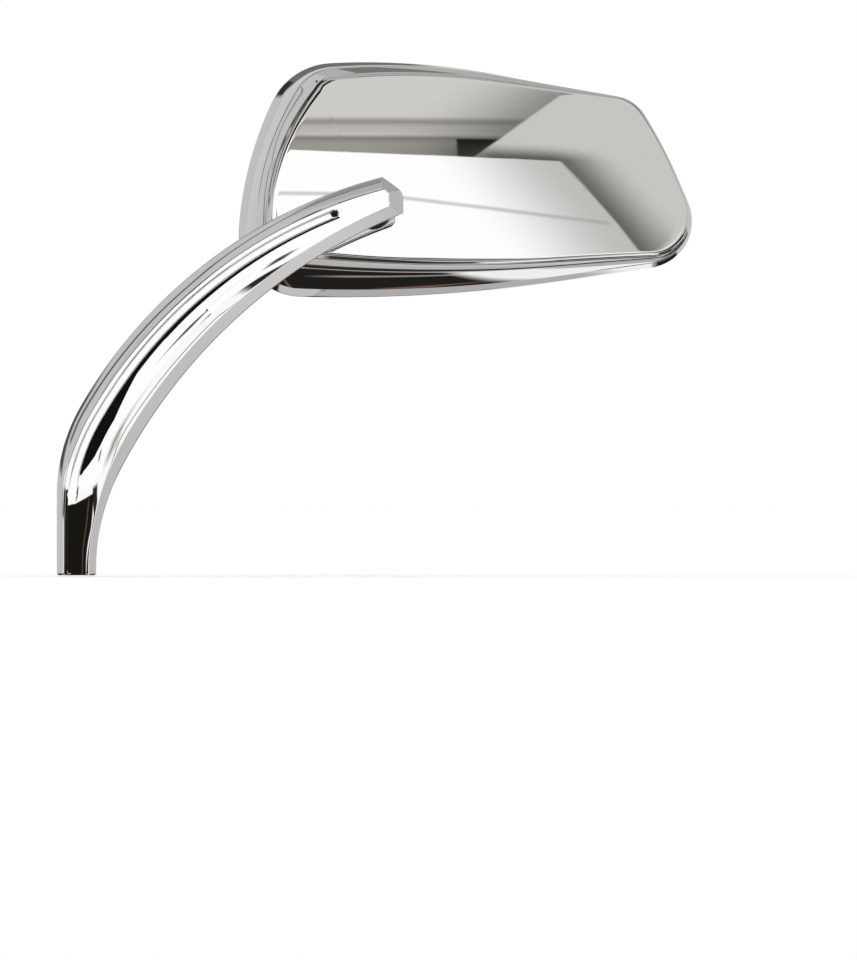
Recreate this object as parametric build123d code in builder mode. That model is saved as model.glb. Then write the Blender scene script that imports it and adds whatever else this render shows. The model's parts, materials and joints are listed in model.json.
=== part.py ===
import os
from math import cos, hypot, radians, sin, sqrt, tan

from build123d import *

# Arm: its two edges as seen from the front, each a straight run, a bend and a long gentle reach
foot_width = 15.6
outer_straight = 32.4
outer_bend_radius = 70
outer_bend_angle = 29.8
outer_reach_radius = 195
outer_reach_angle = 49.3
inner_straight = 2.5
inner_bend_radius = 85
inner_bend_angle = 27.2
inner_reach_radius = 219
inner_reach_angle = 42.6

# Arm: how it leans back above the foot, and its size from front to back
lean_angle = 10
lean_start = 24
lean_blend = 30
foot_depth = 15
arm_depth = 13
tip_depth = 12
foot_share = 0.08
shoulder_share = 0.3
section_count = 13

# Arm: bevels along both edges of the front, the bow of the front face, and the rounding of the edges
foot_bevel = 2.6
upper_bevel = 5
lower_bevel = 4.6
bevel_drop = 3.4
front_bow = 0.9
arm_edge_radius = 0.7
foot_edge_radius = 0.4

# Arm: groove along the front
groove_start = 48
groove_end_setback = 32
groove_width = 3.6
groove_depth = 1.3
groove_margin = 1.1
groove_end_radius = 0.9
groove_section_count = 8

# Arm: tip facets, and the thread in the foot
pivot_setback = 17.5
end_wall_reach = 11.9
corner_wall_reach = 10
corner_wall_angle = 53
tip_bevel_run = 7
tip_bevel_drop = 6
thread_hole_radius = 3.4
thread_hole_depth = 18
thread_lead_in = 0.6

# Boss behind the tip, and the ball stud screwed into it
boss_radius = 7.8
boss_length = 8
arm_standoff = 14
stud_thread_radius = 3
stud_thread_length = 10
stud_hole_clearance = 0.1
stud_hole_spare = 1
hex_across_flats = 10
hex_thickness = 2.5
ball_radius = 7
ball_flat = 0.6
neck_radius = 3.5

# Ball joint
joint_clearance = 0.2
seat_thickness = 2
seat_split_gap = 1.2
seat_opening_radius = 5.4
grease_hole_radius = 2
socket_wall = 2.6
socket_mouth_radius = 6.2
socket_mouth_wall = 1.6
socket_mouth_flare = 1
cup_rim_drop = 3
cup_floor = 1.5
cup_clearance = 0.1
bore_step = 0.3

# Clamp: disc springs, plate and screws
disc_thickness = 0.8
disc_cone_height = 0.5
disc_bore_radius = 3
disc_radius = 7.5
plate_thickness = 1.6
plate_margin = 4.5
screw_spacing = 25
screw_boss_radius = 3.4
screw_radius = 1.4
screw_pilot_clearance = 0.05
screw_length = 8
screw_head_radius = 2.8
screw_head_height = 1.6
screw_head_rounding = 0.6
plate_corner_radius = 4

# Head outline, from the ball: sharp corners, then the runs and bows between them
near_bottom_corner = (-53.9, -28.3)
near_top_corner = (-32.8, 67)
far_top_corner = (105.3, 49.3)
far_bottom_corner = (134.3, -13.9)
top_run_length = 62
top_run_angle = 10.4
bottom_run_length = 60
bottom_run_angle = 8.6
near_side_bow = 7.9
far_side_bow = 2.5
near_bottom_radius = 26
near_top_radius = 27.6
far_top_radius = 16.8
far_bottom_radius = 19.2
corner_fade = 21

# Head shell: relief of the back
shell_wall = 3
lip_height = 5
lip_near_inset = 2.8
lip_far_inset = 0.5
wall_near_draft = 0.19
wall_far_draft = 0.02
ledge_drop = 5.8
ledge_slope = 0.11
panel_slope = 0.1
panel_sweep_radius = 1500
panel_crown_radius = 350
panel_crown_line = 18
panel_near_inset = 2
panel_far_inset = -1
panel_draft = 0.39
relief_reach = 34
panel_root = 0.5
ledge_edge_radius = 0.3
panel_edge_radius = 0.4
rim_edge_radius = 0.5

# Glass and what holds it
glass_curve_radius = 1500
glass_thickness = 2.2
foam_thickness = 0.8
carrier_edge = 1
carrier_seat_gap = 0.3
bond_gap = 0.05
pocket_near_inset = 4.4
pocket_far_inset = 3
pocket_clearance = 0.2
seal_width = 1.2
seal_lip = 0.9
seal_proud = 0.5
glass_rise = 0.6
glass_centre = (36, 17)
plate_recess_margin = 1.5
plate_recess_spare = 0.5

os.makedirs("parts", exist_ok=True)


def edge_line(start, straight, bend_radius, bend_angle, reach_radius, reach_angle):
    with BuildLine() as edge:
        foot_run = Line((start, 0), (start, straight))
        bend_run = JernArc(foot_run @ 1, foot_run % 1, bend_radius, -bend_angle)
        JernArc(bend_run @ 1, bend_run % 1, reach_radius, -reach_angle)
    return edge.wire()


outer_edge = edge_line(
    -foot_width / 2,
    outer_straight,
    outer_bend_radius,
    outer_bend_angle,
    outer_reach_radius,
    outer_reach_angle,
)
inner_edge = edge_line(
    foot_width / 2,
    inner_straight,
    inner_bend_radius,
    inner_bend_angle,
    inner_reach_radius,
    inner_reach_angle,
)
arm_length = (outer_edge.length + inner_edge.length) / 2
lean_slope = tan(radians(lean_angle))


def ease(low, high, share):
    """Smooth change from low at the top of the foot to high at the shoulder."""
    step = min(max((share - foot_share) / (shoulder_share - foot_share), 0), 1)
    return low + (high - low) * step * step * (3 - 2 * step)


def arm_lean(height):
    """How far the arm lies back at a height, and how steeply it leans there."""
    rise = max(height - lean_start, 0)
    if rise < lean_blend:
        return lean_slope * rise**2 / (2 * lean_blend), lean_slope * rise / lean_blend
    return lean_slope * (rise - lean_blend / 2), lean_slope


def arm_plane(share):
    """Plane square to the arm: x runs across the front to the inner edge, y runs to the back."""
    outer = outer_edge.position_at(share)
    inner = inner_edge.position_at(share)
    middle = (outer + inner) / 2
    across = (inner - outer).normalized()
    setback, slope = arm_lean(middle.Y)
    return Plane(
        origin=(middle.X, setback, middle.Y),
        x_dir=(across.X, 0, across.Y),
        z_dir=(-across.Y, slope * across.X, across.X),
    )


def arm_size(share):
    """Width, depth and the runs of the two bevels."""
    width = (inner_edge.position_at(share) - outer_edge.position_at(share)).length
    depth = ease(foot_depth, arm_depth, share) + (tip_depth - arm_depth) * share
    return width, depth, ease(foot_bevel, upper_bevel, share), ease(foot_bevel, lower_bevel, share)


# Levels along the ball's axis, from the ball's centre, positive towards the arm
seat_inner_radius = ball_radius + joint_clearance
seat_outer_radius = seat_inner_radius + seat_thickness
socket_radius = seat_outer_radius + joint_clearance
bore_radius = socket_radius + bore_step
mouth_level = sqrt(socket_radius**2 - socket_mouth_radius**2)
panel_level = mouth_level + socket_mouth_wall
arm_back_level = panel_level + arm_standoff
arm_mid_level = arm_back_level + tip_depth / 2
boss_level = arm_back_level - boss_length
cup_level = -socket_radius - cup_floor
disc_height = disc_thickness + disc_cone_height
plate_level = cup_level - 2 * disc_height
carrier_level = plate_level - plate_thickness - carrier_seat_gap

# The head's plane has its origin at the ball, x to the right, y up along the glass and z out of the back
head_normal = Vector(0, -cos(radians(lean_angle)), sin(radians(lean_angle)))
pivot = arm_plane(1 - pivot_setback / arm_length).origin
head_plane = Plane(origin=pivot - head_normal * arm_mid_level, x_dir=(1, 0, 0), z_dir=head_normal)
head_axis = Axis(head_plane.origin, head_normal)
section_plane = Plane(origin=head_plane.origin, x_dir=head_plane.x_dir, z_dir=-head_plane.y_dir)

# The glass is a cap of a large sphere: its lowest corner sets how far the middle stands out
corner_reach = max(
    hypot(corner[0] - glass_centre[0], corner[1] - glass_centre[1])
    for corner in (near_bottom_corner, near_top_corner, far_top_corner, far_bottom_corner)
)
glass_sag = glass_curve_radius - sqrt(glass_curve_radius**2 - corner_reach**2)
pane_depth = carrier_edge + glass_sag + foam_thickness + glass_thickness + 2 * bond_gap
glass_level = carrier_level - pane_depth
glass_curve_centre = (*glass_centre, glass_level + glass_curve_radius)
foam_curve_radius = glass_curve_radius - glass_thickness - bond_gap
carrier_curve_radius = foam_curve_radius - foam_thickness - bond_gap
rim_level = glass_level + glass_rise
lip_level = rim_level + lip_height
relief_level = lip_level + relief_reach


def arm_section(share):
    """Bevelled section of the arm: flat back, bowed front, a bevel down each side of the front."""
    width, depth, upper_run, lower_run = arm_size(share)
    half = width / 2
    front = -depth / 2
    with BuildSketch(arm_plane(share)) as section:
        with BuildLine():
            Polyline(
                (half - lower_run, front),
                (half, front + bevel_drop),
                (half, -front),
                (-half, -front),
                (-half, front + bevel_drop),
                (upper_run - half, front),
            )
            SagittaArc((half - lower_run, front), (upper_run - half, front), front_bow)
        make_face()
        fillet(section.vertices(), radius=arm_edge_radius)
    return section.sketch


def groove_spot(share):
    """Place of the groove's middle across a section, and of its floor."""
    width, depth, upper_run, lower_run = arm_size(share)
    face_half = (width - upper_run - lower_run) / 2
    inset = groove_margin + groove_width / 2
    bow = front_bow * (1 - (1 - inset / face_half) ** 2)
    return upper_run + inset - width / 2, groove_depth - depth / 2 - bow


def groove_section(share):
    middle, floor = groove_spot(share)
    with BuildSketch(arm_plane(share)) as section:
        with Locations((middle, floor)):
            Rectangle(groove_width, 2 * groove_depth, align=(Align.CENTER, Align.MAX))
    return section.sketch


def tip_wall(reach, angle):
    """Plane across the tip at a reach from the pivot, square to the glass."""
    outward = head_plane.x_dir * cos(radians(angle)) + head_plane.y_dir * sin(radians(angle))
    return Plane(origin=pivot + outward * reach, x_dir=head_normal, z_dir=outward)


def tip_bevel(wall):
    """Plane that lays the front edge of a tip wall back."""
    front_edge = wall.origin - wall.z_dir * tip_bevel_run + head_normal * tip_depth / 2
    outward = wall.z_dir * tip_bevel_drop + head_normal * tip_bevel_run
    return Plane(origin=front_edge, x_dir=wall.z_dir.cross(head_normal), z_dir=outward)


groove_shares = [groove_start / arm_length, 1 - groove_end_setback / arm_length]
groove_step = (groove_shares[1] - groove_shares[0]) / (groove_section_count - 1)
groove_sections = [
    groove_section(groove_shares[0] + groove_step * index) for index in range(groove_section_count)
]

with BuildPart() as groove_cutter:
    loft(groove_sections)
    fillet(groove_cutter.edges().sort_by(SortBy.LENGTH)[:4], radius=groove_end_radius)

with BuildPart() as stem:
    loft([arm_section(index / (section_count - 1)) for index in range(section_count)])
    foot_face = stem.faces().sort_by(Axis.Z)[0]
    fillet(foot_face.outer_wire().edges(), radius=foot_edge_radius)
    for wall in (tip_wall(end_wall_reach, 0), tip_wall(corner_wall_reach, corner_wall_angle)):
        split(bisect_by=wall, keep=Keep.BOTTOM)
        split(bisect_by=tip_bevel(wall), keep=Keep.BOTTOM)
    add(groove_cutter.part, mode=Mode.SUBTRACT)
    with BuildSketch(head_plane.offset(boss_level)):
        Circle(boss_radius)
    extrude(amount=arm_mid_level - boss_level)
    with BuildSketch(head_plane.offset(boss_level)):
        Circle(stud_thread_radius + stud_hole_clearance)
    extrude(amount=stud_thread_length + stud_hole_spare, mode=Mode.SUBTRACT)
    with BuildSketch():
        Circle(thread_hole_radius)
    extrude(amount=thread_hole_depth, mode=Mode.SUBTRACT)
    with BuildSketch():
        Circle(thread_hole_radius + thread_lead_in)
    extrude(amount=thread_lead_in, taper=45, mode=Mode.SUBTRACT)

stem.part.label = "stem"
export_step(stem.part, "parts/stem.step")

with BuildPart() as ball_stud:
    with BuildSketch(section_plane):
        Circle(ball_radius)
        Rectangle(neck_radius, boss_level, align=Align.MIN)
        with Locations((0, boss_level)):
            Rectangle(stud_thread_radius, stud_thread_length, align=Align.MIN)
        with Locations((0, ball_flat - ball_radius)):
            Rectangle(ball_radius, 2 * arm_mid_level, align=Align.MIN, mode=Mode.INTERSECT)
    revolve(axis=head_axis)
    with BuildSketch(head_plane.offset(boss_level)):
        RegularPolygon(hex_across_flats / 2, 6, major_radius=False)
    extrude(amount=-hex_thickness)

ball_stud.part.label = "ball_stud"
export_step(ball_stud.part, "parts/ball_stud.step")

with BuildPart() as neck_seat:
    with BuildSketch(section_plane):
        Circle(seat_outer_radius)
        Circle(seat_inner_radius, mode=Mode.SUBTRACT)
        with Locations((seat_opening_radius, seat_split_gap / 2)):
            Rectangle(seat_outer_radius, seat_outer_radius, align=Align.MIN, mode=Mode.INTERSECT)
    revolve(axis=head_axis)

neck_seat.part.label = "neck_seat"
export_step(neck_seat.part, "parts/neck_seat.step")

with BuildPart() as pressure_seat:
    with BuildSketch(section_plane):
        Circle(seat_outer_radius)
        Circle(seat_inner_radius, mode=Mode.SUBTRACT)
        with Locations((grease_hole_radius, -seat_split_gap / 2)):
            Rectangle(
                seat_outer_radius,
                seat_outer_radius,
                align=(Align.MIN, Align.MAX),
                mode=Mode.INTERSECT,
            )
    revolve(axis=head_axis)

pressure_seat.part.label = "pressure_seat"
export_step(pressure_seat.part, "parts/pressure_seat.step")

with BuildPart() as spring_cup:
    with BuildSketch(section_plane):
        with Locations((0, -cup_rim_drop)):
            Rectangle(
                bore_radius - cup_clearance,
                -cup_level - cup_rim_drop,
                align=(Align.MIN, Align.MAX),
            )
        Circle(socket_radius, mode=Mode.SUBTRACT)
    revolve(axis=head_axis)

spring_cup.part.label = "spring_cup"
export_step(spring_cup.part, "parts/spring_cup.step")

# Two cone washers, set mouth to mouth
with BuildPart() as disc_springs:
    with BuildSketch(section_plane):
        with BuildLine():
            Polyline(
                (disc_bore_radius, cup_level),
                (disc_radius, cup_level - disc_cone_height),
                (disc_radius, cup_level - disc_height),
                (disc_bore_radius, cup_level - disc_thickness),
                close=True,
            )
        make_face()
    revolve(axis=head_axis)
    mirror(about=head_plane.offset(cup_level - disc_height))

disc_springs.part.label = "disc_springs"
export_step(disc_springs.part, "parts/disc_springs.step")

plate_size = screw_spacing + 2 * plate_margin

with BuildPart() as retainer_plate:
    with BuildSketch(head_plane.offset(plate_level)):
        RectangleRounded(plate_size, plate_size, plate_corner_radius)
        with GridLocations(screw_spacing, screw_spacing, 2, 2):
            Circle(screw_radius + cup_clearance, mode=Mode.SUBTRACT)
    extrude(amount=-plate_thickness)

retainer_plate.part.label = "retainer_plate"
export_step(retainer_plate.part, "parts/retainer_plate.step")

with BuildPart() as retainer_screws:
    with BuildSketch(head_plane.offset(plate_level - plate_thickness)):
        with GridLocations(screw_spacing, screw_spacing, 2, 2):
            Circle(screw_head_radius)
    heads = extrude(amount=-screw_head_height)
    fillet(heads.edges().group_by(head_axis)[0], radius=screw_head_rounding)
    with BuildSketch(head_plane.offset(plate_level - plate_thickness)):
        with GridLocations(screw_spacing, screw_spacing, 2, 2):
            Circle(screw_radius)
    extrude(amount=screw_length)

retainer_screws.part.label = "retainer_screws"
export_step(retainer_screws.part, "parts/retainer_screws.step")


def head_outline(level, near, far):
    """Outline of the head at a level, drawn in by one distance at the near end and another at the far end."""
    near_bottom = (near_bottom_corner[0] + near, near_bottom_corner[1] + near)
    near_top = (near_top_corner[0] + near, near_top_corner[1] - near)
    far_top = (far_top_corner[0] - far, far_top_corner[1] - far)
    far_bottom = (far_bottom_corner[0] - far, far_bottom_corner[1] + far)
    near_fade = 1 - near / corner_fade
    far_fade = 1 - far / corner_fade
    rounded_corners = [
        (near_bottom, near_bottom_radius * near_fade),
        (near_top, near_top_radius * near_fade),
        (far_top, far_top_radius * far_fade),
        (far_bottom, far_bottom_radius * far_fade),
    ]
    with BuildSketch(head_plane.offset(level)) as outline:
        with BuildLine():
            top_run = PolarLine(far_top, top_run_length, 180 - top_run_angle)
            TangentArc(top_run @ 1, near_top, tangent=top_run % 1)
            SagittaArc(near_top, near_bottom, -near_side_bow)
            bottom_run = PolarLine(far_bottom, bottom_run_length, 180 + bottom_run_angle)
            TangentArc(bottom_run @ 1, near_bottom, tangent=bottom_run % 1)
            SagittaArc(far_bottom, far_top, -far_side_bow)
        make_face()
        for corner, radius in rounded_corners:
            fillet(outline.vertices().sort_by_distance(corner)[0], radius=radius)
    return outline.sketch


def wall_outline(level, shrink):
    rise = level - lip_level
    near = lip_near_inset + rise * wall_near_draft
    far = lip_far_inset + rise * wall_far_draft
    return head_outline(level, near + shrink, far + shrink)


def panel_outline(level, shrink):
    drawn_in = (level - lip_level) * panel_draft + shrink
    return head_outline(level, panel_near_inset + drawn_in, panel_far_inset + drawn_in)


def sloped_plane(level, slope):
    """Plane through the ball's axis at a level, falling towards the far end."""
    tilt = head_plane.x_dir * slope + head_normal
    return Plane(origin=head_plane.origin + head_normal * level, x_dir=head_plane.y_dir, z_dir=tilt)


def ledge_plane(shrink):
    return sloped_plane(panel_level - ledge_drop - shrink, ledge_slope)


def drafted_wall(low_level, shrink):
    """Steep wall of the head up to the ledge, or the hollow inside it."""
    with BuildPart() as wall:
        loft([wall_outline(low_level, shrink), wall_outline(relief_level, shrink)], ruled=True)
        split(bisect_by=ledge_plane(shrink), keep=Keep.BOTTOM)
    return wall.part


def raised_panel(shrink):
    """Raised panel with its crowned face, rooted in the ledge, or the hollow inside it."""
    ridge = sloped_plane(panel_level - shrink, panel_slope)
    crown_line = ridge.origin + head_plane.y_dir * panel_crown_line
    sweep_centre = crown_line - ridge.z_dir * panel_sweep_radius
    with BuildPart() as panel:
        loft([panel_outline(lip_level, shrink), panel_outline(relief_level, shrink)], ruled=True)
        split(bisect_by=ledge_plane(shrink + panel_root), keep=Keep.TOP)
        with Locations(Plane(origin=sweep_centre, x_dir=head_plane.x_dir, z_dir=head_plane.y_dir)):
            Torus(panel_sweep_radius - panel_crown_radius, panel_crown_radius, mode=Mode.INTERSECT)
    return panel.part


with BuildPart() as head_solid:
    loft([head_outline(rim_level, 0, 0), wall_outline(lip_level, 0)], ruled=True)
    add(drafted_wall(lip_level, 0))
    add(raised_panel(0))
    ledge_face = head_solid.faces().filter_by(GeomType.PLANE).sort_by(head_axis)[-1]
    fillet(ledge_face.outer_wire().edges(), radius=ledge_edge_radius)
    panel_face = head_solid.faces().filter_by(GeomType.TORUS).sort_by(SortBy.AREA)[-1]
    fillet(panel_face.outer_wire().edges(), radius=panel_edge_radius)
    rim_face = head_solid.faces().filter_by(GeomType.PLANE).sort_by(head_axis)[0]
    fillet(rim_face.outer_wire().edges(), radius=rim_edge_radius)

with BuildPart() as head_skin:
    add(head_solid.part)
    add(drafted_wall(carrier_level, shell_wall), mode=Mode.SUBTRACT)
    add(raised_panel(shell_wall), mode=Mode.SUBTRACT)
    extrude(
        head_outline(rim_level, pocket_near_inset, pocket_far_inset),
        amount=carrier_level - rim_level,
        mode=Mode.SUBTRACT,
    )

with BuildPart() as back_shell:
    with BuildSketch(head_plane.offset(plate_level)):
        Circle(bore_radius + socket_wall)
        with GridLocations(screw_spacing, screw_spacing, 2, 2):
            Circle(screw_boss_radius)
    extrude(amount=relief_level - plate_level)
    add(head_solid.part, mode=Mode.INTERSECT)
    add(head_skin.part)
    with BuildSketch(section_plane):
        Circle(socket_radius)
        with Locations((0, plate_level)):
            Rectangle(bore_radius, -plate_level, align=Align.MIN)
        with BuildLine():
            Polyline(
                (0, 0),
                (socket_mouth_radius, 0),
                (socket_mouth_radius, mouth_level),
                (socket_mouth_radius + 2 * socket_mouth_flare, mouth_level + 2 * socket_mouth_wall),
                (0, mouth_level + 2 * socket_mouth_wall),
                close=True,
            )
        make_face()
        with Locations((0, plate_level)):
            Rectangle(2 * bore_radius, 2 * relief_level, align=Align.MIN, mode=Mode.INTERSECT)
    revolve(axis=head_axis, mode=Mode.SUBTRACT)
    with BuildSketch(head_plane.offset(plate_level)):
        with GridLocations(screw_spacing, screw_spacing, 2, 2):
            Circle(screw_radius + screw_pilot_clearance)
    extrude(amount=screw_length, mode=Mode.SUBTRACT)

back_shell.part.label = "back_shell"
export_step(back_shell.part, "parts/back_shell.step")

carrier_near_inset = pocket_near_inset + pocket_clearance
carrier_far_inset = pocket_far_inset + pocket_clearance
glass_near_inset = carrier_near_inset + seal_width
glass_far_inset = carrier_far_inset + seal_width
plate_recess_size = plate_size + 2 * plate_recess_margin
plate_recess_depth = screw_head_height - carrier_seat_gap + plate_recess_spare


def pane(inset, inner_radius, outer_radius):
    """Sheet with the glass's outline, drawn in evenly, between two spheres about one centre."""
    outline = head_outline(carrier_level, glass_near_inset + inset, glass_far_inset + inset)
    with BuildPart(head_plane) as sheet:
        extrude(outline, amount=-2 * pane_depth)
        with Locations(glass_curve_centre):
            Sphere(outer_radius, mode=Mode.INTERSECT)
            Sphere(inner_radius, mode=Mode.SUBTRACT)
    return sheet.part


with BuildPart(head_plane) as glass_carrier:
    extrude(head_outline(carrier_level, carrier_near_inset, carrier_far_inset), amount=-2 * pane_depth)
    with Locations(glass_curve_centre):
        Sphere(carrier_curve_radius, mode=Mode.INTERSECT)
    with BuildSketch(head_plane.offset(carrier_level)):
        RectangleRounded(plate_recess_size, plate_recess_size, plate_corner_radius)
    extrude(amount=-plate_recess_depth, mode=Mode.SUBTRACT)

glass_carrier.part.label = "glass_carrier"
export_step(glass_carrier.part, "parts/glass_carrier.step")

foam_pad = pane(0, carrier_curve_radius + bond_gap, foam_curve_radius)
foam_pad.label = "foam_pad"
export_step(foam_pad, "parts/foam_pad.step")

mirror_glass = pane(0, glass_curve_radius - glass_thickness, glass_curve_radius)
mirror_glass.label = "mirror_glass"
export_step(mirror_glass, "parts/mirror_glass.step")

with BuildPart() as glass_seal:
    add(pane(-seal_width, carrier_curve_radius + bond_gap, glass_curve_radius + seal_proud))
    add(pane(-bond_gap, carrier_curve_radius, glass_curve_radius + bond_gap), mode=Mode.SUBTRACT)
    add(pane(seal_lip, carrier_curve_radius, glass_curve_radius + 2 * seal_proud), mode=Mode.SUBTRACT)

glass_seal.part.label = "glass_seal"
export_step(glass_seal.part, "parts/glass_seal.step")

print("Ball centre", head_plane.origin, "arm length", round(arm_length, 2))
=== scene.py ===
import json
from math import cos, pi, radians, sin, sqrt, tan

import bpy
import numpy as np
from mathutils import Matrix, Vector


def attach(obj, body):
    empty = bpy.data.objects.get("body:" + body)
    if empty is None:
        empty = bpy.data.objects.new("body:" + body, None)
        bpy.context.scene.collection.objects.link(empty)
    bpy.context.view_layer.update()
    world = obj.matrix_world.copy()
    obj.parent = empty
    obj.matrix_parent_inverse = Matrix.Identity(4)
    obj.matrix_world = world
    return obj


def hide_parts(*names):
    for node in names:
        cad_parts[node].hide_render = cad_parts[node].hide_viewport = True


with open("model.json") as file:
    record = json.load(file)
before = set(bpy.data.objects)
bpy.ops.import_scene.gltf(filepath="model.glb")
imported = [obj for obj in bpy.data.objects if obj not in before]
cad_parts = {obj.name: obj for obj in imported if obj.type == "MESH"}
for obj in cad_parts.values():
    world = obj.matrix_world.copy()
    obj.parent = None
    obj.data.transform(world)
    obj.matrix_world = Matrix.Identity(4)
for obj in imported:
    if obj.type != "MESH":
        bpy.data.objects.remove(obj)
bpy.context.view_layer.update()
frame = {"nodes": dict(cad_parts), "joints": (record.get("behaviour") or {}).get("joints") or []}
nodes = frame["nodes"]
ball = np.array(frame["joints"][0]["pos_m"]) * 1000  # ball centre, mm
print("frame loaded:", len(nodes), "nodes")


def hexColor(code):
    parts = [int(code[i:i + 2], 16) / 255 for i in (1, 3, 5)]
    return (*[c / 12.92 if c <= 0.04045 else ((c + 0.055) / 1.055) ** 2.4 for c in parts], 1)


def addNode(tree, kind, settings=None, links=None):
    node = tree.nodes.new(kind)
    for name, value in (settings or {}).items():
        if isinstance(name, int) or name in node.inputs:
            node.inputs[name].default_value = value
        else:
            setattr(node, name, value)
    for name, source in (links or {}).items():
        tree.links.new(source, node.inputs[name])
    return node


def selectOnly(piece):
    bpy.ops.object.select_all(action="DESELECT")
    piece.select_set(True)
    bpy.context.view_layer.objects.active = piece


def softCorner(before, corner, after, radius, steps=5):
    # points of a rounded corner, from the side before it to the side after it
    before, corner, after = (np.asarray(p, float) for p in (before, corner, after))
    inward = (before - corner) / np.linalg.norm(before - corner)
    outward = (after - corner) / np.linalg.norm(after - corner)
    turn = np.arccos(np.clip(-inward @ outward, -1, 1))
    shorter = min(np.linalg.norm(before - corner), np.linalg.norm(after - corner))
    reach = min(radius * tan(turn / 2), 0.48 * shorter)  # leaves some of each side straight
    start, end = corner + inward * reach, corner + outward * reach
    share = np.linspace(0, 1, steps)[:, None]
    return (1 - share) ** 2 * start + 2 * share * (1 - share) * corner + share ** 2 * end


def between(start, end, count):
    # evenly spaced points strictly between two points
    share = np.linspace(0, 1, count + 2)[1:-1, None]
    return np.asarray(start) * (1 - share) + np.asarray(end) * share


def sweptSkin(name, rings):
    # a grid is laid through closed rings of points, in mm, and sewn where its points meet
    rings = np.asarray(rings, float)
    rows, columns = rings.shape[:2]
    bpy.ops.object.select_all(action="DESELECT")
    bpy.ops.mesh.primitive_grid_add(x_subdivisions=columns, y_subdivisions=rows - 1, size=1)
    skin = bpy.context.object
    skin.name = skin.data.name = name
    closed = np.concatenate([rings, rings[:, :1]], axis=1) / 1000
    skin.data.vertices.foreach_set("co", closed.reshape(-1))
    skin.data.update()
    bpy.ops.object.mode_set(mode="EDIT")
    bpy.ops.mesh.select_all(action="SELECT")
    bpy.ops.mesh.remove_doubles(threshold=2e-7)
    bpy.ops.object.mode_set(mode="OBJECT")
    return skin


def finishSkin(skin, body, material, replaced):
    selectOnly(skin)
    bpy.ops.object.mode_set(mode="EDIT")
    bpy.ops.mesh.select_all(action="SELECT")
    bpy.ops.mesh.normals_make_consistent(inside=False)
    bpy.ops.object.mode_set(mode="OBJECT")
    bpy.ops.object.shade_smooth()
    weighted = skin.modifiers.new("weighted", "WEIGHTED_NORMAL")
    weighted.weight = 90
    bpy.ops.object.modifier_apply(modifier=weighted.name)
    skin.data.materials.clear()
    skin.data.materials.append(material)
    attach(skin, body)
    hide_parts(replaced)
    print("piece", skin.name, len(skin.data.polygons), "faces")


# Materials

def newMaterial(name):
    material = bpy.data.materials.new(name)
    material.use_nodes = True
    tree = material.node_tree
    tree.nodes.clear()
    shader = addNode(tree, "ShaderNodeBsdfPrincipled")
    addNode(tree, "ShaderNodeOutputMaterial", links={"Surface": shader.outputs["BSDF"]})
    place = addNode(tree, "ShaderNodeTexCoord").outputs["Object"]
    return material, tree, shader, place


# patch sizes and bump heights in mm, roughness as a pair of limits
looks = {
    "chrome": {"colour": "#E8E8E7", "roughness": (0.006, 0.02), "haze": 16.7, "wave": 45.5, "waveDepth": 0.03},
    "steel": {"tints": ("#A9ABAA", "#C6C7C3"), "roughness": (0.28, 0.42), "cloud": 5.6, "grain": 0.4,
              "grainDepth": 0.01},
    # the foam's darker tint is painted shade at the bottom of its pits
    "foam": {"tints": ("#1F2022", "#3A3B3D"), "roughness": 0.9, "cell": 0.455, "cellDepth": 0.12},
    "mirror": {"colour": "#D5DADD", "roughness": (0.004, 0.02), "film": 28.6},
    "blackNylon": {"tints": ("#161718", "#1F2022"), "roughness": (0.38, 0.46), "grain": 0.667, "grainDepth": 0.008},
    "blackAbs": {"tints": ("#141516", "#1E1F21"), "roughness": (0.45, 0.6), "grain": 0.556, "grainDepth": 0.03},
    "sealRubber": {"tints": ("#101011", "#1A1A1B"), "roughness": (0.55, 0.7), "grain": 0.385, "grainDepth": 0.02},
    "mouldCloud": 11.1,
}
perPatch = 1000  # a noise scale is this over the patch size in mm
mm = 0.001


def makeChrome():
    # polished chrome on a casting: mirror sharp, with a faint haze and the slow waves that polishing leaves
    look = looks["chrome"]
    low, high = look["roughness"]
    material, tree, shader, place = newMaterial("chromePlate")
    shader.inputs["Base Color"].default_value = hexColor(look["colour"])
    shader.inputs["Metallic"].default_value = 1
    haze = addNode(tree, "ShaderNodeTexNoise", {"Scale": perPatch / look["haze"], "Detail": 4}, {"Vector": place})
    rough = addNode(tree, "ShaderNodeMapRange", {"From Min": 0.3, "From Max": 0.7, "To Min": low, "To Max": high},
                    {"Value": haze.outputs["Fac"]})
    wave = addNode(tree, "ShaderNodeTexNoise", {"Scale": perPatch / look["wave"], "Detail": 1}, {"Vector": place})
    bump = addNode(tree, "ShaderNodeBump", {"Distance": look["waveDepth"] * mm, "Strength": 1},
                   {"Height": wave.outputs["Fac"]})
    tree.links.new(rough.outputs["Result"], shader.inputs["Roughness"])
    tree.links.new(bump.outputs["Normal"], shader.inputs["Normal"])
    return material


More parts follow.
